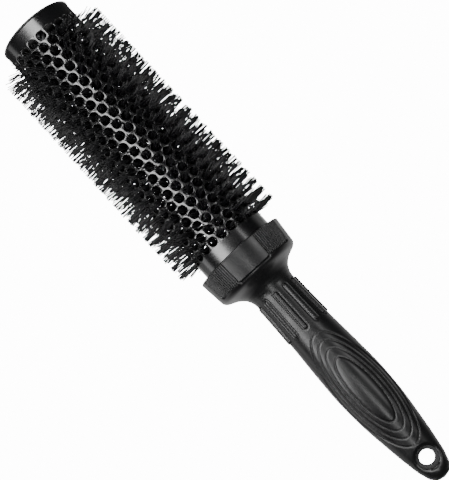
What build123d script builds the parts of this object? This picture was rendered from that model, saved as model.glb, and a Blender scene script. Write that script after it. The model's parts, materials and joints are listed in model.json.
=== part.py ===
"""A round thermal styling brush: perforated metal barrel, bristles on a twisted wire core, moulded handle.

The brush stands on its tip cap.  +Z runs from the tip to the end of the handle, -Y is the front.
"""
from build123d import *
import os
from math import cos, radians, sin

# ---- driving dimensions, in millimetres ---------------------------------------------------------

# barrel
barrel_length = 132.0  # tube, from the tip cap's flange to its seat against the handle
barrel_r = 16.6  # outside radius
barrel_wall = 0.8
hole_r = 1.95
hole_rings = 26
holes_per_ring = 21
first_ring_up = 8.8  # height of the first ring of holes
ring_pitch = 4.33
ring_drift = -0.31  # degrees that each ring creeps beyond the half-pitch stagger

# tip cap
cap_flange = 1.2  # thickness of the disc outside the tube
cap_lip = 0.25  # how far the disc stands out past the tube
cap_chamfer = 0.4
cap_skirt = 4.0  # depth of the skirt inside the tube
cap_wall = 1.2
cap_boss_r = 3.6
cap_boss_depth = 6.0

# wire core
wire_r = 0.9
wire_lead = 10.0  # one full twist
wire_gap = 0.05  # between the two strands
core_grip_length = 16.0  # length of the core held inside the handle

# bristles
bristle_reach = 8.8  # how far the bristles stand out past the barrel
tuft_spread = 0.1  # tuft radius per millimetre of distance from the axis
first_bristle_ring = 2  # the ring of holes nearest the tip is left empty

# handle: heights are measured from the front edge of its collar
socket_depth = 7.7  # length of the barrel held inside the collar
collar_front_r = 20.25
collar_length = 10.5
collar_back_r = 19.2
shoulder = [(17.7, 12.8), (12.9, 15.2)]  # radius and height where it falls to the neck
neck_up = 21.3
neck_r = 9.6
handle_length = 120.2
hang_up = 109.8  # centre of the hanging hole
hang_r = 3.2  # hole through the eye of the inner stem
hang_mouth_r = 4.75  # wider opening in the grip
eye_r = 5.7
eye_thickness = 5.0
stem_r = 5.6
tongue_half_width = 4.0
tongue_length = 14.0  # flat stretch between the round stem and the eye
stem_flange_r = 15.0
stem_flange = 2.0
plug_length = 8.0

# half width and half depth of the grip at heights between the neck and the end
grip_sections = [
    (neck_up, neck_r, neck_r),
    (42.5, 10.15, 10.0),
    (58.5, 11.0, 10.2),
    (71.5, 11.4, 10.2),
    (84.5, 10.8, 9.4),
    (96.5, 9.4, 7.8),
    (106.5, 7.95, 6.4),
    (114.5, 6.2, 5.0),
    (handle_length, 2.2, 2.0),
]

# surface detail of the handle
rib_count = 11
rib_width = 1.8
rib_length = 19.0
rib_height = 0.55
rib_middle_up = 31.7
rib_turn = 4.0  # degrees from the front to the first rib
rib_base_r = 10.0  # radius the ribs stand on
oval_middle_up = 74.0
ovals = [(16.5, 5.4), (20.9, 7.35), (24.9, 8.95)]  # half length and half width of each contour
groove_width = 0.7
groove_depth = 0.45
knurl_fields = [45.0, 135.0, 225.0, 315.0]  # middle of each ribbed field, in degrees from the front
knurl_ribs = 13
knurl_pitch = 3.1  # degrees
knurl_groove = 0.4
knurl_depth = 0.5
knurl_margin = 0.6

# clearances
fit_gap = 0.1  # pressed and moulded fits, per side
tuft_gap = 0.05  # between a tuft's root and the wires

# ---- sizes that follow ---------------------------------------------------------------------------

tube_base = cap_flange
tube_top = tube_base + barrel_length
core_r = 2 * wire_r + wire_gap / 2
core_base = cap_flange + wire_r
core_top = tube_top + core_grip_length
core_bore_r = core_r + fit_gap
plug_base = tube_top - plug_length
collar_up = tube_top - socket_depth
eye_up = collar_up + hang_up
barrel_inner_r = barrel_r - barrel_wall
stem_base = tube_top + fit_gap
collar_back = (collar_back_r, collar_length)
collar_plane = Plane(origin=(0, 0, collar_up), x_dir=(1, 0, 0), z_dir=(0, -1, 0))
hang_plane = Plane(origin=(0, 0, eye_up), x_dir=(1, 0, 0), z_dir=(0, -1, 0))


def ring_up(ring):
    return first_ring_up + ring * ring_pitch


def hole_angles(ring):
    """Angles of one ring's holes, in degrees from the front, with the stagger and the drift."""
    turn = ring * (180 / holes_per_ring + ring_drift)
    return [turn + hole * 360 / holes_per_ring for hole in range(holes_per_ring)]


def outward(angle, up, out=0.0):
    """A plane that faces out of the brush, 'out' from the axis; angle 0 is the front."""
    away = (sin(radians(angle)), -cos(radians(angle)), 0)
    along = (cos(radians(angle)), sin(radians(angle)), 0)
    return Plane(origin=(out * away[0], out * away[1], up), x_dir=along, z_dir=away)


def finish(piece, name):
    piece.part.label = name
    export_step(piece.part, f"parts/{name}.step")


os.makedirs("parts", exist_ok=True)

# ---- barrel --------------------------------------------------------------------------------------

with BuildPart() as barrel_tube:
    with BuildSketch(Plane.XY.offset(tube_base)):
        Circle(barrel_r)
        Circle(barrel_inner_r, mode=Mode.SUBTRACT)
    extrude(amount=barrel_length)
    hole_planes = [
        outward(angle, ring_up(ring), core_r)
        for ring in range(hole_rings)
        for angle in hole_angles(ring)
    ]
    with Locations(*hole_planes):
        Cylinder(
            hole_r,
            barrel_r,
            align=(Align.CENTER, Align.CENTER, Align.MIN),
            mode=Mode.SUBTRACT,
        )
finish(barrel_tube, "barrel_tube")

# ---- tip cap: flange, skirt inside the tube, and a socket for the wire core ----------------------

cap_skirt_r = barrel_inner_r - fit_gap
with BuildPart() as tip_cap:
    with BuildSketch():
        Circle(barrel_r + cap_lip)
    extrude(amount=cap_flange)
    chamfer(tip_cap.faces().sort_by(Axis.Z)[0].edges(), length=cap_chamfer)
    with BuildSketch(Plane.XY.offset(cap_flange)):
        Circle(cap_skirt_r)
        Circle(cap_skirt_r - cap_wall, mode=Mode.SUBTRACT)
    extrude(amount=cap_skirt)
    with BuildSketch(Plane.XY.offset(cap_flange)):
        Circle(cap_boss_r)
        Circle(core_bore_r, mode=Mode.SUBTRACT)
    extrude(amount=cap_boss_depth)
finish(tip_cap, "tip_cap")

# ---- wire core: two strands twisted round each other ---------------------------------------------

for name, start in (("core_wire_a", 0), ("core_wire_b", 180)):
    with BuildPart() as core_wire:
        with BuildLine():
            strand = Helix(wire_lead, core_top - core_base, wire_r + wire_gap / 2)
        with BuildSketch(Plane(origin=strand @ 0, z_dir=strand % 0)):
            Circle(wire_r)
        sweep(is_frenet=True)
    core_wire.part = core_wire.part.rotate(Axis.Z, start).translate((0, 0, core_base))
    finish(core_wire, name)

# ---- bristles: one ring of tufts for each ring of holes, rooted on the wire core ------------------

tuft_root = core_r + tuft_gap
for ring in range(first_bristle_ring - 1, hole_rings):
    tuft_end = barrel_r + bristle_reach
    with BuildPart() as bristle_ring:
        with Locations(*[outward(angle, ring_up(ring), tuft_root) for angle in hole_angles(ring)]):
            Cone(
                tuft_spread * tuft_root,
                tuft_spread * tuft_end,
                tuft_end - tuft_root,
                align=(Align.CENTER, Align.CENTER, Align.MIN),
            )
    finish(bristle_ring, f"bristle_ring_{ring + 1:02d}")

# ---- plug that closes the barrel's handle end and centres the core --------------------------------

with BuildPart() as barrel_plug:
    with BuildSketch(Plane.XY.offset(plug_base)):
        Circle(barrel_inner_r - fit_gap)
        Circle(core_bore_r, mode=Mode.SUBTRACT)
    extrude(amount=plug_length)
finish(barrel_plug, "barrel_plug")

# ---- inner stem of the handle, from its flange behind the barrel to the hanging eye ---------------


def stem_body(gap=0.0):
    """Flange, round stem, flat tongue and eye, larger all round by a gap when used as a cavity."""
    with BuildPart() as body:
        with BuildSketch(Plane.XY.offset(stem_base - gap)):
            Circle(stem_flange_r + gap)
        extrude(amount=stem_flange + 2 * gap)
        with BuildSketch(Plane.XY.offset(stem_base)):
            Circle(stem_r + gap)
        extrude(amount=eye_up - eye_r - tongue_length - stem_base)
        with BuildSketch(Plane.XZ.offset(-eye_thickness / 2 - gap)):
            with Locations((0, eye_up)):
                Circle(eye_r + gap)
            with Locations((0, eye_up - (eye_r + tongue_length) / 2)):
                Rectangle(2 * (tongue_half_width + gap), eye_r + tongue_length + 2 * gap)
        extrude(amount=eye_thickness + 2 * gap)
    return body.part


with BuildPart() as stem_core:
    add(stem_body())
    with Locations(Plane.XY.offset(stem_base)):
        Cylinder(
            core_bore_r,
            core_top - stem_base + wire_r,
            align=(Align.CENTER, Align.CENTER, Align.MIN),
            mode=Mode.SUBTRACT,
        )
    with Locations(hang_plane):
        Cylinder(hang_r, 4 * eye_thickness, mode=Mode.SUBTRACT)
finish(stem_core, "handle_core")

# ---- handle grip: collar, neck and palm in one moulding over the stem -----------------------------


def grip_skin(inset=0.0):
    """The palm's oval body, drawn in by an inset."""
    with BuildPart() as skin:
        for up, half_width, half_depth in grip_sections:
            with BuildSketch(Plane.XY.offset(collar_up + up)):
                Ellipse(half_width - inset, half_depth - inset)
        loft()
    return skin.part


with BuildPart() as oval_grooves:
    with BuildSketch(Plane.XZ):
        with Locations((0, collar_up + oval_middle_up)):
            for half_length, half_width in reversed(ovals):
                Ellipse(half_width, half_length)
                Ellipse(half_width - groove_width, half_length - groove_width, mode=Mode.SUBTRACT)
    extrude(amount=collar_front_r, both=True)
    add(grip_skin(groove_depth), mode=Mode.SUBTRACT)

with BuildPart() as handle_grip:
    add(grip_skin())
    with BuildSketch(collar_plane):
        with BuildLine():
            Polyline((neck_r, neck_up), (0, neck_up), (0, 0), (collar_front_r, 0), collar_back)
            Spline(collar_back, *shoulder, (neck_r, neck_up), tangents=[(-0.4, 1), (0, 1)])
        make_face()
    revolve(axis=Axis.Z)

    # raised ribs round the neck end of the palm
    for rib in range(rib_count):
        with BuildSketch(outward(rib * 360 / rib_count + rib_turn, collar_up + rib_middle_up, neck_r / 2)):
            SlotOverall(rib_length, rib_width, rotation=90)
        extrude(amount=rib_base_r + rib_height - neck_r / 2)

    add(oval_grooves.part, mode=Mode.SUBTRACT)

    # fine ribs on the collar
    knurl_angles = [
        field + (rib - (knurl_ribs - 1) / 2) * knurl_pitch
        for field in knurl_fields
        for rib in range(knurl_ribs)
    ]
    knurl_length = collar_length - knurl_margin
    knurl_up = collar_up + knurl_length / 2
    knurl_floor_r = collar_back_r - knurl_depth / 2
    with Locations(*[outward(angle, knurl_up, knurl_floor_r) for angle in knurl_angles]):
        Box(
            knurl_groove,
            knurl_length,
            4 * knurl_depth,
            align=(Align.CENTER, Align.CENTER, Align.MIN),
            mode=Mode.SUBTRACT,
        )

    # socket for the barrel, cavity for the stem, and the hanging hole's mouth
    with BuildSketch(Plane.XY.offset(collar_up)):
        Circle(barrel_r + fit_gap)
    extrude(amount=tube_top - collar_up, mode=Mode.SUBTRACT)
    add(stem_body(fit_gap), mode=Mode.SUBTRACT)
    with Locations(hang_plane):
        Cylinder(hang_mouth_r, 2 * collar_front_r, mode=Mode.SUBTRACT)
finish(handle_grip, "handle_grip")
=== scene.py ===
import json
import math

import bmesh
import bpy
import numpy as np
from mathutils import Matrix, Quaternion, Vector


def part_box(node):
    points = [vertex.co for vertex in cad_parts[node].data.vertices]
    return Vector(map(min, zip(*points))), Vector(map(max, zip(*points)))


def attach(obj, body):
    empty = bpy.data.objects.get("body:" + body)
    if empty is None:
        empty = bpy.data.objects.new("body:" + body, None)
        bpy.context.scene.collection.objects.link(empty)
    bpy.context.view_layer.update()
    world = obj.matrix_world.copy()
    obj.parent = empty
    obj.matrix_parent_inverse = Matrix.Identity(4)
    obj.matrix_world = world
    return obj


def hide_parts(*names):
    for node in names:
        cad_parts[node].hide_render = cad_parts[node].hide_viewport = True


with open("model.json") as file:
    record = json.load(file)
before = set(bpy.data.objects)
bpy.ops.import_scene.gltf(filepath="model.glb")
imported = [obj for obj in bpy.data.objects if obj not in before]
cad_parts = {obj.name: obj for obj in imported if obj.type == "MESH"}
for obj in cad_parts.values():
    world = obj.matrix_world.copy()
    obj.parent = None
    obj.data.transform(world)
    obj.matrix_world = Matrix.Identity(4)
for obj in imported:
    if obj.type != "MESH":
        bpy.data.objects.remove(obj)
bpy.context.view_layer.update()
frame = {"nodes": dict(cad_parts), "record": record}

# A round styling brush that stands on its tip: lengths in metres, +Z from tip to handle, -Y the front.

MM = 0.001
MATH = "ShaderNodeMath"
VECTOR = "ShaderNodeVectorMath"

# ---- places taken from the frame -------------------------------------------------------------------

tube_low, tube_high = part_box("barrel_tube")
cap_low, cap_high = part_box("tip_cap")
grip_low, grip_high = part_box("handle_grip")
ring_nodes = sorted(name for name in frame["nodes"] if name.startswith("bristle_ring_"))
ring_boxes = [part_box(name) for name in ring_nodes]
ring_heights = [(low[2] + high[2]) / 2 for low, high in ring_boxes]
hang_height = next(m["pos_m"][2] for m in frame["record"]["mounts"] if m["name"] == "hanging_hole")

tube_base, tube_top = tube_low[2], tube_high[2]
tube_r = tube_high[0]
tube_wall = 0.8 * MM

# ---- the barrel's hole pattern and bristles ----------------------------------------------------------

HOLES_PER_RING = 21
RING_DRIFT = math.radians(-0.31)  # how far each ring creeps beyond the half-pitch stagger
HOLE_R = 1.93 * MM
HOLE_LIP = 0.26 * MM
HOLE_CORNERS = 20
FILAMENTS_PER_TUFT = 10
FILAMENT_R = 0.22 * MM
WIRE_LEAD = 10 * MM
ring_pitch = (ring_heights[-1] - ring_heights[0]) / (len(ring_heights) - 1)
first_ring = ring_heights[0] - ring_pitch  # the bare ring of holes below the first ring of tufts
hole_rings = len(ring_heights) + 1
ring_reach = ring_boxes[0][1][0] - tube_r - 0.15 * MM

# ---- the handle ----------------------------------------------------------------------------------------

MOUTH_R = 4.75 * MM
RIBS = 11
RIB_ANGLE = 4  # degrees from the front to the first rib
RIB_HALF_LENGTH = 8.6 * MM
RIB_HEIGHT = 0.62 * MM
OVALS = [(16.5, 5.4), (20.9, 7.35), (24.9, 8.95), (28.8, 10.5)]  # half length, half width, mm
OVAL_STEP = 0.2 * MM  # each oval lies a little lower than the one outside it
OVAL_GROOVE = 0.34 * MM
CROWN = 0.75 * MM  # how far the middle oval swells back up
END_LENGTH = 6 * MM  # rounded end of the handle

collar_front, handle_end = grip_low[2], grip_high[2]
collar_front_r = grip_high[0]
collar_back = collar_front + 10.5 * MM
collar_back_r = collar_front_r - 1.05 * MM
collar_bend = 1.3 * MM  # length of the rounded rear corner
neck_up = collar_front + 21.3 * MM
neck_r = 9.6 * MM
socket_r = tube_r + 0.12 * MM
rib_middle = collar_front + 31.7 * MM
oval_middle = collar_front + 74 * MM
ovals_end = collar_front + 101.5 * MM  # here the ovals fade out before the hanging hole

# height above the collar's front edge and radius of the collar and the concave neck, in mm
COLLAR = [
    (0.0, 20.25),
    (10.5, 19.2),
    (12.0, 18.6),
    (12.8, 17.7),
    (13.6, 15.9),
    (14.4, 14.1),
    (15.2, 12.9),
    (16.0, 12.0),
    (16.8, 11.2),
    (18.4, 10.3),
    (20.0, 9.75),
    (21.3, 9.6),
]

# height above the collar's front edge, half width and half depth of the palm, in mm
PALM = [
    (21.3, 9.6, 9.6),
    (42.5, 10.15, 10.0),
    (58.5, 11.0, 10.2),
    (71.5, 11.4, 10.2),
    (84.5, 10.8, 9.4),
    (96.5, 9.4, 7.8),
    (106.5, 7.95, 6.4),
    (114.5, 6.2, 5.0),
    (118.1, 4.5, 3.7),
    (119.7, 2.4, 2.0),
    (120.2, 0.3, 0.3),
]


# ---- helpers -------------------------------------------------------------------------------------------


def colour(code):
    """An sRGB hex value as linear red, green, blue, alpha."""
    parts = [int(code[i : i + 2], 16) / 255 for i in (0, 2, 4)]
    linear = [p / 12.92 if p <= 0.04045 else ((p + 0.055) / 1.055) ** 2.4 for p in parts]
    return (*linear, 1)


def node(tree, kind, inputs=(), **settings):
    """Adds one node; an input may be a number, a vector, another node or one of its outputs."""
    made = tree.nodes.new(kind)
    for key, value in settings.items():
        setattr(made, key, value)
    pairs = inputs.items() if isinstance(inputs, dict) else enumerate(inputs)
    for key, value in pairs:
        if value is None:
            continue
        if isinstance(value, bpy.types.Node):
            value = value.outputs[0]
        if isinstance(value, bpy.types.NodeSocket):
            tree.links.new(value, made.inputs[key])
        else:
            made.inputs[key].default_value = value
    return made


def smooth(low, high, x):
    """A soft step from 0 at low to 1 at high."""
    t = np.clip((x - low) / (high - low), 0, 1)
    return t * t * (3 - 2 * t)


def new_mesh_object(name, verts, faces, material):
    mesh = bpy.data.meshes.new(name)
    mesh.from_pydata([tuple(v) for v in verts], [], faces)
    mesh.materials.append(material)
    mesh.polygons.foreach_set("use_smooth", [True] * len(mesh.polygons))
    made = bpy.data.objects.new(name, mesh)
    bpy.context.scene.collection.objects.link(made)
    return made


def geometry_tree(name, sizes):
    """An empty Geometry Nodes tree with named inputs; returns it with its inputs."""
    tree = bpy.data.node_groups.new(name, "GeometryNodeTree")
    tree.interface.new_socket("Geometry", in_out="OUTPUT", socket_type="NodeSocketGeometry")
    for key, value in sizes.items():
        kind = "NodeSocketInt" if isinstance(value, int) else "NodeSocketFloat"
        tree.interface.new_socket(key, in_out="INPUT", socket_type=kind)
    outputs = tree.nodes.new("NodeGroupInput").outputs
    return tree, {output.name: output for output in outputs}


def finish_tree(tree, geometry, material):
    real = node(tree, "GeometryNodeRealizeInstances", [geometry])
    shaded = node(tree, "GeometryNodeSetShadeSmooth", [real])
    painted = node(tree, "GeometryNodeSetMaterial", {"Geometry": shaded, "Material": material})
    tree.links.new(painted.outputs[0], tree.nodes.new("NodeGroupOutput").inputs[0])


def polar(tree, angle, radius, height):
    """The point at an angle from the front, a radius and a height."""
    sine = node(tree, MATH, [angle], operation="SINE")
    cosine = node(tree, MATH, [angle], operation="COSINE")
    minus = node(tree, MATH, [radius, -1.0], operation="MULTIPLY")
    x = node(tree, MATH, [sine, radius], operation="MULTIPLY")
    y = node(tree, MATH, [cosine, minus], operation="MULTIPLY")
    return node(tree, "ShaderNodeCombineXYZ", [x, y, height])


def row_and_column(tree, hole, per_ring, first_row):
    """The row of a hole by its number, and its place in the row, half a place on in the odd rows."""
    row = node(tree, MATH, [hole, per_ring], operation="DIVIDE")
    row = node(tree, MATH, [row], operation="FLOOR")
    row = node(tree, MATH, [row, first_row], operation="ADD")
    column = node(tree, MATH, [hole, per_ring], operation="MODULO")
    odd = node(tree, MATH, [row, 2.0], operation="MODULO")
    return row, node(tree, MATH, [odd, 0.5, column], operation="MULTIPLY_ADD")


def bake_tree(name, tree, sizes, material):
    """Runs a tree on an empty object and returns the result as a plain mesh object."""
    holder = bpy.data.objects.new(name + "_maker", bpy.data.meshes.new(name + "_maker"))
    bpy.context.scene.collection.objects.link(holder)
    modifier = holder.modifiers.new("make", "NODES")
    modifier.node_group = tree
    for item in tree.interface.items_tree:
        if item.in_out == "INPUT" and item.name in sizes:
            modifier[item.identifier] = sizes[item.name]
    bpy.context.view_layer.update()
    depsgraph = bpy.context.evaluated_depsgraph_get()
    mesh = bpy.data.meshes.new_from_object(holder.evaluated_get(depsgraph))
    bpy.data.objects.remove(holder)
    mesh.materials.clear()
    mesh.materials.append(material)
    mesh.polygons.foreach_set("material_index", [0] * len(mesh.polygons))
    made = bpy.data.objects.new(name, mesh)
    bpy.context.scene.collection.objects.link(made)
    return made


def keep(piece, slot, *nodes):
    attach(piece, "root")
    if nodes:
        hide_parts(*nodes)


# ---- materials -----------------------------------------------------------------------------------------


def base_material(name, **principled):
    """A material with its Principled node set, and noise-ready Object coordinates."""
    made = bpy.data.materials.new(name)
    made.use_nodes = True
    tree = made.node_tree
    shader = tree.nodes["Principled BSDF"]
    for key, value in principled.items():
        shader.inputs[key.replace("_", " ").title().replace("Ior", "IOR")].default_value = value
    place = node(tree, "ShaderNodeTexCoord").outputs["Object"]
    return made, tree, shader, place


def mottle(tree, shader, place, dark, light, size, rough_low, rough_high):
    """Uneven tone and sheen in patches of a real size, in metres."""
    patches = node(tree, "ShaderNodeTexNoise", {"Vector": place, "Scale": 1 / size, "Detail": 5.0})
    tone = node(tree, "ShaderNodeMix", {0: patches, 6: dark, 7: light}, data_type="RGBA")
    tree.links.new(tone.outputs[2], shader.inputs["Base Color"])
    sheen = node(tree, "ShaderNodeMapRange", {0: patches, 1: 0.3, 2: 0.7, 3: rough_low, 4: rough_high})
    tree.links.new(sheen.outputs[0], shader.inputs["Roughness"])


def grain(tree, shader, place, size, height, strength, detail=2.0):
    """Fine surface relief, with its grain size and height in metres."""
    speck = node(tree, "ShaderNodeTexNoise", {"Vector": place, "Scale": 1 / size, "Detail": detail})
    bump = node(tree, "ShaderNodeBump", {"Strength": strength, "Distance": height, "Height": speck})
    tree.links.new(bump.outputs[0], shader.inputs["Normal"])


def baked_enamel():
    # sprayed and baked black enamel on aluminium: deep black with a clear gloss, faint orange peel
    made, tree, shader, place = base_material("baked_enamel", coat_weight=1.0, coat_roughness=0.18)
    mottle(tree, shader, place, colour("070708"), colour("101012"), 6 * MM, 0.2, 0.28)
    grain(tree, shader, place, 0.9 * MM, 0.02 * MM, 0.25)
    return made


def soft_touch_rubber():
    # moulded thermoplastic rubber: soft wide highlights from a fine spark-eroded grain
    made, tree, shader, place = base_material("soft_touch_rubber", sheen_weight=0.04, sheen_roughness=0.4)
    mottle(tree, shader, place, colour("0d0d0e"), colour("151516"), 9 * MM, 0.29, 0.38)
    grain(tree, shader, place, 0.25 * MM, 0.02 * MM, 0.3, detail=3.0)
    return made


def moulded_nylon():
    # moulded black nylon: smooth, slightly waxy gloss with faint flow marks
    made, tree, shader, place = base_material("moulded_nylon")
    mottle(tree, shader, place, colour("0d0d0e"), colour("161617"), 5 * MM, 0.3, 0.4)
    grain(tree, shader, place, 0.6 * MM, 0.015 * MM, 0.3)
    return made


def drawn_nylon():
    # drawn nylon filament: black, sleek along its length, each strand a little different in tone
    made, tree, shader, place = base_material("drawn_nylon")
    mottle(tree, shader, place, colour("080809"), colour("1c1c1e"), 1.6 * MM, 0.28, 0.42)
    return made


def galvanised_wire():
    # zinc-coated steel wire: bright grey with dull patches of zinc
    made, tree, shader, place = base_material("galvanised_wire", metallic=1.0)
    mottle(tree, shader, place, colour("8d9092"), colour("b9bcbd"), 1.5 * MM, 0.32, 0.5)
    grain(tree, shader, place, 0.4 * MM, 0.02 * MM, 0.3)
    return made


def glass_filled_plastic():
    # stiff glass-filled core plastic: matt charcoal with a fibrous speckle
    made, tree, shader, place = base_material("glass_filled_plastic")
    mottle(tree, shader, place, colour("141415"), colour("202022"), 0.7 * MM, 0.5, 0.65)
    grain(tree, shader, place, 0.3 * MM, 0.02 * MM, 0.4)
    return made


enamel = baked_enamel()
rubber = soft_touch_rubber()
nylon = moulded_nylon()
filament = drawn_nylon()
zinc = galvanised_wire()
stiff = glass_filled_plastic()


# ---- barrel: perforated sheet rolled into a tube -----------------------------------------------------------


def wrap_on_barrel(tree, geometry, inputs):
    """Rolls a flat sheet (x round, y up, z out) onto the barrel, with the rows' drift."""
    parts = node(tree, "ShaderNodeSeparateXYZ", [node(tree, "GeometryNodeInputPosition")]).outputs
    round_angle = node(tree, MATH, [parts[0], inputs["Radius"]], operation="DIVIDE")
    rows_up = node(tree, MATH, [parts[1], inputs["First ring"]], operation="SUBTRACT")
    rows_up = node(tree, MATH, [rows_up, inputs["Ring pitch"]], operation="DIVIDE")
    angle = node(tree, MATH, [rows_up, inputs["Drift"], round_angle], operation="MULTIPLY_ADD")
    radius = node(tree, MATH, [inputs["Radius"], parts[2]], operation="ADD")
    rolled = polar(tree, angle, radius, parts[1])
    return node(tree, "GeometryNodeSetPosition", {"Geometry": geometry, "Position": rolled})


def barrel():
    sizes = {
        "Rings": hole_rings,
        "Holes per ring": HOLES_PER_RING,
        "Ring pitch": ring_pitch,
        "Hole pitch": 2 * math.pi * tube_r / HOLES_PER_RING,
        "First ring": first_ring,
        "Hole radius": HOLE_R,
        "Lip": HOLE_LIP,
        "Wall": tube_wall,
        "Base": tube_base,
        "Top": tube_top,
        "Radius": tube_r,
        "Drift": RING_DRIFT,
    }
    tree, inputs = geometry_tree("perforated_sheet", sizes)

    def moved(geometry, z):
        shift = node(tree, "ShaderNodeCombineXYZ", {2: z})
        return node(tree, "GeometryNodeTransform", {"Geometry": geometry, "Translation": shift})

    # one cell of the sheet: a plate with a hole, its rolled lip in two steps, the hole's wall, the back
    lip_r = node(tree, MATH, [inputs["Hole radius"], inputs["Lip"]], operation="ADD")
    step_r = node(tree, MATH, [inputs["Lip"], 0.3, inputs["Hole radius"]], operation="MULTIPLY_ADD")
    edge = node(tree, "GeometryNodeCurvePrimitiveCircle", {"Resolution": HOLE_CORNERS, "Radius": lip_r})
    cell = node(
        tree,
        "GeometryNodeCurvePrimitiveQuadrilateral",
        {"Width": inputs["Hole pitch"], "Height": inputs["Ring pitch"]},
    )
    cell = node(tree, "GeometryNodeResampleCurve", {"Curve": cell, "Count": 16})
    outline = node(tree, "GeometryNodeJoinGeometry", [cell])
    tree.links.new(edge.outputs[0], outline.inputs[0])
    plate = node(tree, "GeometryNodeFillCurve", [outline])
    minus_wall = node(tree, MATH, [inputs["Wall"], -1.0], operation="MULTIPLY")
    back = node(tree, "GeometryNodeFlipFaces", [moved(plate, minus_wall)])
    pieces = [plate, back]
    steps = [(lip_r, step_r, 0.0, 0.25), (step_r, inputs["Hole radius"], 0.25, 1.0)]
    for upper_r, lower_r, start, end in steps:
        depth = node(tree, MATH, [inputs["Lip"], end - start], operation="MULTIPLY")
        bottom = node(tree, MATH, [inputs["Lip"], -end], operation="MULTIPLY")
        cone = node(
            tree,
            "GeometryNodeMeshCone",
            {
                "Vertices": HOLE_CORNERS,
                "Radius Top": upper_r,
                "Radius Bottom": lower_r,
                "Depth": depth,
            },
            fill_type="NONE",
        )
        pieces.append(node(tree, "GeometryNodeFlipFaces", [moved(cone, bottom)]))
    rest = node(tree, MATH, [inputs["Wall"], inputs["Lip"]], operation="SUBTRACT")
    wall = node(
        tree,
        "GeometryNodeMeshCone",
        {
            "Vertices": HOLE_CORNERS,
            "Radius Top": inputs["Hole radius"],
            "Radius Bottom": lip_r,
            "Depth": rest,
        },
        fill_type="NONE",
    )
    pieces.append(node(tree, "GeometryNodeFlipFaces", [moved(wall, minus_wall)]))
    hole = node(tree, "GeometryNodeJoinGeometry")
    for piece in pieces:
        tree.links.new(piece.outputs[0], hole.inputs[0])

    # every hole's place on the flat sheet, alternate rows shifted by half a hole pitch
    index = node(tree, "GeometryNodeInputIndex")
    count = node(tree, MATH, [inputs["Rings"], inputs["Holes per ring"]], operation="MULTIPLY")
    row, column = row_and_column(tree, index, inputs["Holes per ring"], 0.0)
    across = node(tree, MATH, [column, inputs["Hole pitch"]], operation="MULTIPLY")
    up = node(tree, MATH, [row, inputs["Ring pitch"], inputs["First ring"]], operation="MULTIPLY_ADD")
    spot = node(tree, "ShaderNodeCombineXYZ", [across, up])
    points = node(tree, "GeometryNodePoints", {"Count": count, "Position": spot})
    sheet = node(tree, "GeometryNodeInstanceOnPoints", {"Points": points, "Instance": hole})
    sheet = node(tree, "GeometryNodeRealizeInstances", [sheet])

    # plain bands below the first ring and above the last one, front and back of the sheet
    half_pitch = node(tree, MATH, [inputs["Ring pitch"], 0.5], operation="MULTIPLY")
    band_low = node(tree, MATH, [inputs["First ring"], half_pitch], operation="SUBTRACT")
    all_rows = node(tree, MATH, [inputs["Rings"], inputs["Ring pitch"]], operation="MULTIPLY")
    band_high = node(tree, MATH, [band_low, all_rows], operation="ADD")
    girth = node(tree, MATH, [inputs["Radius"], 2 * math.pi], operation="MULTIPLY")
    bands = node(tree, "GeometryNodeJoinGeometry")
    for bottom, top in ((inputs["Base"], band_low), (band_high, inputs["Top"])):
        height = node(tree, MATH, [top, bottom], operation="SUBTRACT")
        middle = node(tree, MATH, [top, bottom], operation="ADD")
        middle = node(tree, MATH, [middle, 0.5], operation="MULTIPLY")
        for out, flip in ((None, False), (minus_wall, True)):
            grid = node(
                tree,
                "GeometryNodeMeshGrid",
                {"Size X": girth, "Size Y": height, "Vertices X": 8 * HOLES_PER_RING + 1, "Vertices Y": 4},
            )
            shift = node(tree, "ShaderNodeCombineXYZ", {1: middle, 2: out})
            grid = node(tree, "GeometryNodeTransform", {"Geometry": grid, "Translation": shift})
            if flip:
                grid = node(tree, "GeometryNodeFlipFaces", [grid])
            tree.links.new(grid.outputs[0], bands.inputs[0])
    both = node(tree, "GeometryNodeJoinGeometry", [sheet])
    tree.links.new(bands.outputs[0], both.inputs[0])
    rolled = wrap_on_barrel(tree, both, inputs)
    joined = node(tree, "GeometryNodeMergeByDistance", {"Geometry": rolled, "Distance": 0.01 * MM})
    finish_tree(tree, joined, enamel)
    return bake_tree("barrel_tube_skin", tree, sizes, enamel)


keep(barrel(), "barrel_metal", "barrel_tube")


# ---- bristles: a few straight filaments through every hole, gathered where the core's twist brings them --


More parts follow.
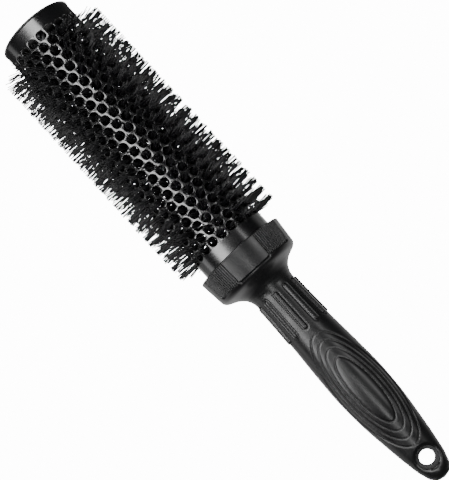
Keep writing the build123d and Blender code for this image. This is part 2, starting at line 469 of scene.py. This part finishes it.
def bristles():
    sizes = {
        "Rings": hole_rings - 1,
        "Holes per ring": HOLES_PER_RING,
        "Filaments": FILAMENTS_PER_TUFT,
        "Ring pitch": ring_pitch,
        "First ring": first_ring,
        "Drift": RING_DRIFT,
        "Radius": tube_r,
        "Reach": ring_reach,
        "Inside": 14.0 * MM,
        "Lead": WIRE_LEAD,
        "Gather": 0.3,
        "Spread": 0.85 * MM,
        "Fan": 0.6 * MM,
        "Disorder": 1.9,
        "Uneven": 0.5 * MM,
        "Filament radius": FILAMENT_R,
        "Seed": 7,
    }
    tree, inputs = geometry_tree("bristle_tufts", sizes)
    index = node(tree, "GeometryNodeInputIndex")

    def chance(offset, amount):
        """A different value between -amount and amount for every filament."""
        seed = node(tree, MATH, [inputs["Seed"], float(offset)], operation="ADD")
        roll = node(tree, "FunctionNodeRandomValue", {"Min": -1.0, "Max": 1.0, "Seed": seed})
        return node(tree, MATH, [roll.outputs["Value"], amount], operation="MULTIPLY")

    # which hole a filament belongs to, and where that hole is
    hole = node(tree, MATH, [index, inputs["Filaments"]], operation="DIVIDE")
    hole = node(tree, MATH, [hole], operation="FLOOR")
    ring, column = row_and_column(tree, hole, inputs["Holes per ring"], 1.0)
    turn = node(tree, MATH, [2 * math.pi, inputs["Holes per ring"]], operation="DIVIDE")
    drift = node(tree, MATH, [ring, inputs["Drift"]], operation="MULTIPLY")
    angle = node(tree, MATH, [column, turn, drift], operation="MULTIPLY_ADD")
    height = node(tree, MATH, [ring, inputs["Ring pitch"], inputs["First ring"]], operation="MULTIPLY_ADD")
    radius = inputs["Radius"]

    # how far up or down the nearest turn of the twisted core lies, which is where the tips gather
    half_lead = node(tree, MATH, [inputs["Lead"], 0.5], operation="MULTIPLY")
    quarter = node(tree, MATH, [inputs["Lead"], 0.25], operation="MULTIPLY")
    minus_quarter = node(tree, MATH, [quarter, -1.0], operation="MULTIPLY")
    climb = node(tree, MATH, [inputs["Lead"], 2 * math.pi], operation="DIVIDE")
    climb = node(tree, MATH, [angle, climb], operation="MULTIPLY")
    off = node(tree, MATH, [climb, height], operation="SUBTRACT")
    off = node(tree, MATH, [off, quarter, minus_quarter], operation="WRAP")
    lean = node(tree, MATH, [off, inputs["Gather"]], operation="MULTIPLY")

    # filaments are less even towards the tip of the brush
    share = node(tree, MATH, [ring, inputs["Rings"]], operation="DIVIDE")
    share = node(tree, MATH, [1.0, share], operation="SUBTRACT")
    share = node(tree, MATH, [share, 2.5], operation="POWER")
    loose = node(tree, MATH, [share, inputs["Disorder"], 1.0], operation="MULTIPLY_ADD")
    fan = node(tree, MATH, [loose, inputs["Fan"]], operation="MULTIPLY")

    in_hole_x = chance(1, inputs["Spread"])
    in_hole_z = chance(2, inputs["Spread"])
    turn_in_hole = node(tree, MATH, [in_hole_x, radius], operation="DIVIDE")
    hole_angle = node(tree, MATH, [angle, turn_in_hole], operation="ADD")
    hole_height = node(tree, MATH, [height, in_hole_z], operation="ADD")
    at_hole = polar(tree, hole_angle, radius, hole_height)

    tip_r = node(tree, MATH, [radius, inputs["Reach"]], operation="ADD")
    shorter = node(tree, MATH, [chance(3, inputs["Uneven"])], operation="ABSOLUTE")
    tip_r = node(tree, MATH, [tip_r, shorter], operation="SUBTRACT")
    turn_at_tip = node(tree, MATH, [chance(4, fan), tip_r], operation="DIVIDE")
    tip_angle = node(tree, MATH, [hole_angle, turn_at_tip], operation="ADD")
    tip_height = node(tree, MATH, [hole_height, lean], operation="ADD")
    tip_height = node(tree, MATH, [tip_height, chance(5, fan)], operation="ADD")
    at_tip = polar(tree, tip_angle, tip_r, tip_height)

    run = node(tree, VECTOR, [at_tip, at_hole], operation="SUBTRACT")
    way = node(tree, VECTOR, [run], operation="NORMALIZE")
    length = node(tree, VECTOR, [run], operation="LENGTH").outputs["Value"]
    length = node(tree, MATH, [length, inputs["Inside"]], operation="ADD")
    inward = node(tree, VECTOR, {0: way, "Scale": inputs["Inside"]}, operation="SCALE")
    root = node(tree, VECTOR, [at_hole, inward], operation="SUBTRACT")

    count = node(tree, MATH, [inputs["Rings"], inputs["Holes per ring"]], operation="MULTIPLY")
    count = node(tree, MATH, [count, inputs["Filaments"]], operation="MULTIPLY")
    points = node(tree, "GeometryNodePoints", {"Count": count, "Position": root})
    strand_tip = node(tree, MATH, [inputs["Filament radius"], 0.8], operation="MULTIPLY")
    strand = node(
        tree,
        "GeometryNodeMeshCone",
        {
            "Vertices": 5,
            "Side Segments": 1,
            "Radius Top": strand_tip,
            "Radius Bottom": inputs["Filament radius"],
            "Depth": 1.0,
        },
    )
    aim = node(tree, "FunctionNodeAlignRotationToVector", {"Vector": way}, axis="Z")
    stretch = node(tree, "ShaderNodeCombineXYZ", [1.0, 1.0, length])
    tufts = node(
        tree,
        "GeometryNodeInstanceOnPoints",
        {"Points": points, "Instance": strand, "Rotation": aim, "Scale": stretch},
    )
    finish_tree(tree, tufts, filament)
    return bake_tree("bristles", tree, sizes, filament)


keep(bristles(), "bristle_nylon", *ring_nodes)


# ---- pieces turned on the brush's axis -----------------------------------------------------------------


def lathe(name, heights, radii, sides, material, shape=None):
    """A skin round the axis from parallel lists of heights and radii; shape(angle, z, r) may move points."""
    heights, radii = np.array(heights), np.array(radii)
    angles = np.linspace(0, 2 * math.pi, sides, endpoint=False)
    z, a = np.meshgrid(heights, angles, indexing="ij")
    r = np.repeat(radii[:, None], sides, axis=1)
    if shape is None:
        x, y = np.sin(a) * r, -np.cos(a) * r
    else:
        x, y = shape(a, z, r)
    verts = np.stack([x, y, z], axis=-1).reshape(-1, 3)
    faces = []
    for row in range(len(heights) - 1):
        for k in range(sides):
            n = (k + 1) % sides
            faces.append((row * sides + k, row * sides + n, (row + 1) * sides + n, (row + 1) * sides + k))
    last = (len(heights) - 1) * sides
    faces.append(tuple(range(sides - 1, -1, -1)))
    faces.append(tuple(range(last, last + sides)))
    return new_mesh_object(name, verts, faces, material)


def cap():
    """The tip's end disc: a rounded flange with a shallow dished middle and its skirt inside the tube."""
    r = cap_high[0]
    t = tube_base
    skirt = tube_r - tube_wall - 0.12 * MM
    profile = [(0.45 * MM, 3 * MM), (0.45 * MM, r - 6.2 * MM), (0.3 * MM, r - 5.6 * MM)]
    profile += [(0.03 * MM, r - 5.1 * MM), (0, r - 4.8 * MM), (0, r - 0.7 * MM)]
    for step in range(1, 9):
        turn = math.pi * step / 8
        profile.append((t / 2 * (1 - math.cos(turn)), r - t / 2 + t / 2 * math.sin(turn)))
    profile += [(t, skirt + 0.05 * MM), (t + 0.05 * MM, skirt), (t + 4 * MM, skirt)]
    profile += [(t + 4 * MM, skirt - 1.2 * MM), (t + 0.2 * MM, skirt - 1.2 * MM), (t + 0.2 * MM, 2.2 * MM)]
    heights, radii = zip(*profile)
    return lathe("tip_cap_skin", heights, radii, 120, nylon)


keep(cap(), "cap_plastic", "tip_cap")


# ---- collar: smooth pads and fine-ribbed fields -----------------------------------------------------------

KNURL_FIELDS = [45, 135, 225, 315]  # middle of each ribbed field, degrees from the front
KNURL_HALF = 21
KNURL_PITCH = 3.1  # degrees
KNURL_HEIGHT = 0.5 * MM
FIELD_DEPTH = 0.72 * MM
FIELD_CORNER = 1.6 * MM
PAD_CORNER = 1.4 * MM
PAD_STEP = 0.8 * MM  # drop behind the front and back pads


def shoulder(z):
    """Radius of the collar and of the concave neck behind it."""
    marks, radii = (np.array(column) * MM for column in zip(*COLLAR))
    return np.interp(z, collar_front + marks, radii)


def knurled(a, z, r):
    """Sinks the ribbed fields a little and raises their ribs, inside a border with rounded corners."""
    degrees = np.degrees(a) % 360
    low, high = collar_front - 4 * MM, collar_back + 0.2 * MM
    sink = np.zeros_like(r)
    for field in KNURL_FIELDS:
        across = np.radians((degrees - field + 180) % 360 - 180) * collar_back_r
        half = math.radians(KNURL_HALF) * collar_back_r
        dx = np.maximum(np.abs(across) - (half - FIELD_CORNER), 0)
        dz = np.maximum(np.abs(z - (low + high) / 2) - ((high - low) / 2 - FIELD_CORNER), 0)
        inside = FIELD_CORNER - np.hypot(dx, dz)
        field_mask = smooth(0, 0.25 * MM, inside)
        rib_mask = smooth(0.25 * MM, 0.6 * MM, inside)
        phase = np.cos(2 * math.pi * (degrees - field) / KNURL_PITCH)
        rib = KNURL_HEIGHT * rib_mask * smooth(-0.4, 0.6, phase)
        sink = np.maximum(sink, FIELD_DEPTH * field_mask - rib)
    # a step behind the front and back pads
    across = np.radians((degrees + 90) % 180 - 90) * collar_back_r
    dx = np.maximum(np.abs(across) - 7 * MM, 0)
    dz = np.maximum(z - (collar_back - 1.2 * MM), 0)
    past_pad = np.hypot(dx, dz) - PAD_CORNER
    step = PAD_STEP * smooth(0, 0.3 * MM, past_pad) * (1 - smooth(0.5 * MM, 2.2 * MM, past_pad))
    sink = np.maximum(sink, step * (np.abs(across) < 8.6 * MM) * (z > collar_back - MM))
    r = np.where(r > collar_back_r * 0.93, r - sink, r)
    return np.sin(a) * r, -np.cos(a) * r


def collar():
    edge = 0.5 * MM
    inner = [(collar_front + 3.5 * MM, socket_r), (collar_front + 0.25 * MM, socket_r)]
    inner += [(collar_front, socket_r + 0.25 * MM), (collar_front, collar_front_r - edge - 0.3 * MM)]
    for step in range(1, 6):
        turn = math.pi / 2 * step / 5
        inner.append((collar_front + edge * (1 - math.cos(turn)), collar_front_r - edge * (1 - math.sin(turn))))
    heights, radii = [list(x) for x in zip(*inner)]
    body = np.arange(collar_front + edge + 0.2 * MM, collar_back, 0.22 * MM)
    heights += list(body)
    radii += list(shoulder(body))
    back = np.linspace(collar_back, collar_back + collar_bend, 7)
    bend = (back - collar_back) / collar_bend
    heights += list(back)
    radii += list(collar_back_r - 0.5 * MM * bend**2)
    made = lathe("collar_skin", heights, radii, 1344, rubber, knurled)
    ends = [p.index for p in made.data.polygons if len(p.vertices) > 4]
    strip_faces(made, ends)
    return made


def strip_faces(piece, indices):
    """Removes some of a piece's faces and leaves its points."""
    work = bmesh.new()
    work.from_mesh(piece.data)
    work.faces.ensure_lookup_table()
    bmesh.ops.delete(work, geom=[work.faces[i] for i in indices], context="FACES_ONLY")
    work.to_mesh(piece.data)
    work.free()


# ---- palm: neck, raised ribs, nested ovals and the hanging hole's mouth --------------------------------------


def palm_sizes(z):
    """Half width and half depth of the handle behind the collar."""
    marks, widths, depths = (np.array(column) * MM for column in zip(*PALM))
    marks += collar_front

    def curve(values):
        slopes = np.gradient(values, marks)
        slopes[0] = 0
        k = np.clip(np.searchsorted(marks, z) - 1, 0, len(marks) - 2)
        span = marks[k + 1] - marks[k]
        t = (z - marks[k]) / span
        h00, h10 = 2 * t**3 - 3 * t**2 + 1, t**3 - 2 * t**2 + t
        h01, h11 = -2 * t**3 + 3 * t**2, t**3 - t**2
        return h00 * values[k] + h10 * span * slopes[k] + h01 * values[k + 1] + h11 * span * slopes[k + 1]

    inside = z > neck_up
    width = np.where(inside, curve(widths), shoulder(z))
    depth = np.where(inside, curve(depths), shoulder(z))
    return width, depth


def palm_shape(a, z, r):
    """Gives the palm its ovals, ribs and the edge of the hanging hole's mouth."""
    width, depth = palm_sizes(z)
    end = handle_end - z
    x, y = np.sin(a) * width, -np.cos(a) * depth
    out = np.zeros_like(z)
    for rib in range(RIBS):
        at = math.radians(rib * 360 / RIBS + RIB_ANGLE)
        across = ((a - at + math.pi) % (2 * math.pi) - math.pi) * width
        along = np.maximum(np.abs(z - rib_middle) - RIB_HALF_LENGTH, 0)
        off = np.hypot(across, along)
        out += RIB_HEIGHT * (1 - smooth(0.55 * MM, 1.0 * MM, off))
        out -= 0.22 * MM * smooth(0.85 * MM, 1.05 * MM, off) * (1 - smooth(1.15 * MM, 1.6 * MM, off))
    level = 0
    for half_length, half_width in OVALS:
        length, wide = half_length * MM, half_width * MM
        reach = np.hypot(x / wide, (z - oval_middle) / length) + 1e-9
        steepness = np.hypot(x / wide**2, (z - oval_middle) / length**2) / reach
        off = (reach - 1) / (steepness + 1)
        facing = smooth(0.05, 0.3, np.abs(np.cos(a)))
        open_end = 1 - smooth(ovals_end, ovals_end + 3 * MM, z)
        level = level - OVAL_STEP * (1 - smooth(-0.5 * MM, 0.0, off)) * facing * open_end
        out -= OVAL_GROOVE * (1 - smooth(0.1 * MM, 0.42 * MM, np.abs(off))) * facing * open_end
    # the middle oval swells back up to a soft crown
    length, wide = OVALS[0][0] * MM, OVALS[0][1] * MM
    crown = np.clip(1 - (x / wide) ** 2 - ((z - oval_middle) / length) ** 2, 0, 1)
    out += level + CROWN * np.sqrt(crown) * smooth(0.2, 0.6, np.abs(np.cos(a)))
    # rounded edge round the hanging hole's mouth
    off = np.hypot(x, z - hang_height)
    out -= 1.1 * MM * (1 - smooth(MOUTH_R - 0.3 * MM, MOUTH_R + 1.3 * MM, off))
    out = np.where(end < 1.5 * MM, 0, out)
    nx, ny = np.sin(a) * depth, -np.cos(a) * width
    size = np.hypot(nx, ny)
    return x + nx / size * out, y + ny / size * out


def palm():
    start = collar_back + collar_bend
    heights = [start] + list(np.arange(start + 0.3 * MM, handle_end - END_LENGTH, 0.36 * MM))
    end = np.linspace(0, math.pi / 2, 22)[1:]
    heights += list(handle_end - END_LENGTH + (END_LENGTH - 0.005 * MM) * np.sin(end))
    made = lathe("grip_skin", heights, [neck_r] * len(heights), 240, rubber, palm_shape)
    strip_faces(made, [len(made.data.polygons) - 2])
    bore = lathe("mouth_cutter", [-15 * MM, 15 * MM], [MOUTH_R] * 2, 72, rubber)
    bore.data.transform(Matrix.Translation((0, 0, hang_height)) @ Matrix.Rotation(math.pi / 2, 4, "X"))
    cut = made.modifiers.new("mouth", "BOOLEAN")
    cut.object, cut.operation, cut.solver = bore, "DIFFERENCE", "EXACT"
    bpy.context.view_layer.update()
    mesh = bpy.data.meshes.new_from_object(made.evaluated_get(bpy.context.evaluated_depsgraph_get()))
    made.modifiers.clear()
    made.data = mesh
    bpy.data.objects.remove(bore)
    return made


collar_piece = collar()
palm_piece = palm()
keep(collar_piece, "grip_soft", "handle_grip")
keep(palm_piece, "grip_soft", "handle_grip")


# ---- CAD pieces that stay, with their finishes -------------------------------------------------------------

for name, material in (
    ("core_wire_a", zinc),
    ("core_wire_b", zinc),
    ("barrel_plug", stiff),
    ("handle_core", stiff),
):
    kept = frame["nodes"][name]
    kept.data.materials.clear()
    kept.data.materials.append(material)


# ---- floor, light and camera -----------------------------------------------------------------------------

SEEN_WHITE = 14.0  # strength of the white that the camera sees; lighting is separate
FRONT_GLOW = 0.03
BACK_GLOW = 1.0
floor_size = 6.0
floor_up = -0.7
corners = [(x * floor_size, y * floor_size, floor_up) for x, y in ((-1, -1), (1, -1), (1, 1), (-1, 1))]
paper, paper_tree, paper_shader, paper_place = base_material("white_paper", roughness=0.9)
mottle(paper_tree, paper_shader, paper_place, colour("5c5c5b"), colour("646463"), 400 * MM, 0.85, 0.95)
seen = node(paper_tree, "ShaderNodeLightPath").outputs["Is Camera Ray"]
glow = node(paper_tree, "ShaderNodeMath", [seen, SEEN_WHITE], operation="MULTIPLY")
paper_shader.inputs["Emission Color"].default_value = (1, 1, 1, 1)
paper_tree.links.new(glow.outputs[0], paper_shader.inputs["Emission Strength"])
floor = new_mesh_object("floor", corners, [(0, 1, 2, 3)], paper)

# a white room that is bright behind the brush and dim on the camera's side
world = bpy.data.worlds.new("white_room")
bpy.context.scene.world = world
world.use_nodes = True
room = world.node_tree
facing = node(room, "ShaderNodeSeparateXYZ", [node(room, "ShaderNodeTexCoord").outputs["Generated"]])
glow = node(room, "ShaderNodeMapRange", {0: facing.outputs["Y"], 1: 0.1, 2: 0.8, 3: FRONT_GLOW, 4: BACK_GLOW})
seen = node(room, "ShaderNodeLightPath").outputs["Is Camera Ray"]
strength = node(room, "ShaderNodeMix", {0: seen, 2: glow, 3: SEEN_WHITE}, data_type="FLOAT")
room.links.new(strength.outputs[0], room.nodes["Background"].inputs["Strength"])
room.nodes["Background"].inputs["Color"].default_value = (1, 1, 1, 1)


LIT_MIDDLE = Vector((0, 0, 0.125))


def soft_light(name, place, width, height, watts, lean=0):
    data = bpy.data.lights.new(name, "AREA")
    data.shape, data.size, data.size_y, data.energy = "RECTANGLE", width, height, watts
    made = bpy.data.objects.new(name, data)
    made.location = place
    aim = (LIT_MIDDLE - Vector(place)).to_track_quat("-Z", "Y")
    made.rotation_euler = (aim @ Quaternion((0, 0, 1), math.radians(lean))).to_euler()
    bpy.context.scene.collection.objects.link(made)


soft_light("front_strip", (0.37, -0.8, -0.1), 0.24, 1.5, 12.5, lean=-65)
soft_light("handle_box", (0.04, -0.8, 0.44), 0.14, 0.55, 1.9)
soft_light("second_strip", (-0.7, -0.8, 0.25), 0.16, 0.45, 2)
soft_light("right_box", (0.9, 0.15, 0.1), 0.3, 0.8, 1.0)

# The camera looks across the upright brush and is rolled, so that the brush lies on the slant.
lens_mm, sensor_mm = 106.2, 36
stand_off = 567 * MM
aim_at = Vector((1.1 * MM, 0, 117.8 * MM))
camera_at = Vector((1.1 * MM, -stand_off, 187 * MM))
roll = math.radians(47.5)
back = (camera_at - aim_at).normalized()
along_brush = (Vector((0, 0, 1)) - back * back.z).normalized()
across_brush = Vector((1, 0, 0))
right = along_brush * math.cos(roll) - across_brush * math.sin(roll)
up = back.cross(right)
camera_data = bpy.data.cameras.new("camera")
camera_data.lens, camera_data.sensor_width = lens_mm, sensor_mm
camera = bpy.data.objects.new("camera", camera_data)
bpy.context.scene.collection.objects.link(camera)
camera.matrix_world = Matrix((right, up, back)).transposed().to_4x4()
camera.location = camera_at
bpy.context.scene.camera = camera
